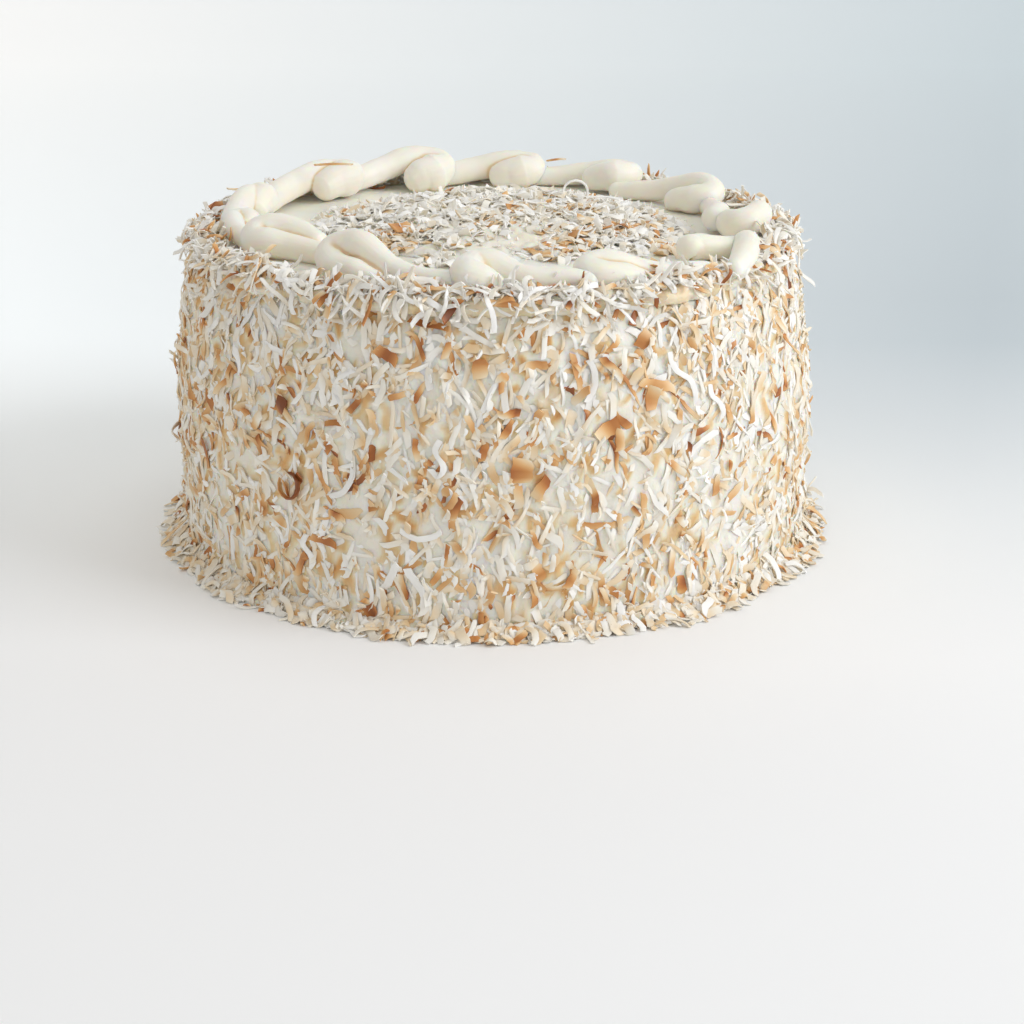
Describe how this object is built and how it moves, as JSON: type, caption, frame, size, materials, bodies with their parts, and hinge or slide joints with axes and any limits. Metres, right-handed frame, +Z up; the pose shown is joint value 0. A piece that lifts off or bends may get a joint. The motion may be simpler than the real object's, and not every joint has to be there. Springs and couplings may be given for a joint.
{
  "type": "italian cream cake",
  "caption": "Round frosted layer cake with a coat of shredded coconut, a low coconut heap on top and a piped border of folded curls.",
  "frame": {"origin": "centre of the flat bottom the cake stands on", "axes": "+Z up through the middle of the cake, +X to the right and -Y towards the viewer of the shown side"},
  "size_m": [0.2192, 0.2193, 0.1087],
  "materials": {
    "frosting": "soft satin cream frosting, off-white",
    "coconut": "dry shredded coconut, white with toasted tan and brown shreds",
    "piping": "smooth satin piped frosting, warm white"
  },
  "bodies": {
    "root": {"frosted_cake": "frosting", "coconut_coat": "coconut", "coconut_mound": "coconut", "piped_curl_01": "piping", "piped_curl_02": "piping", "piped_curl_03": "piping", "piped_curl_04": "piping", "piped_curl_05": "piping", "piped_curl_06": "piping", "piped_curl_07": "piping", "piped_curl_08": "piping", "piped_curl_09": "piping", "piped_curl_10": "piping", "piped_curl_11": "piping", "piped_curl_12": "piping", "piped_curl_13": "piping", "piped_curl_14": "piping", "piped_curl_15": "piping"}
  },
  "joints": []
}
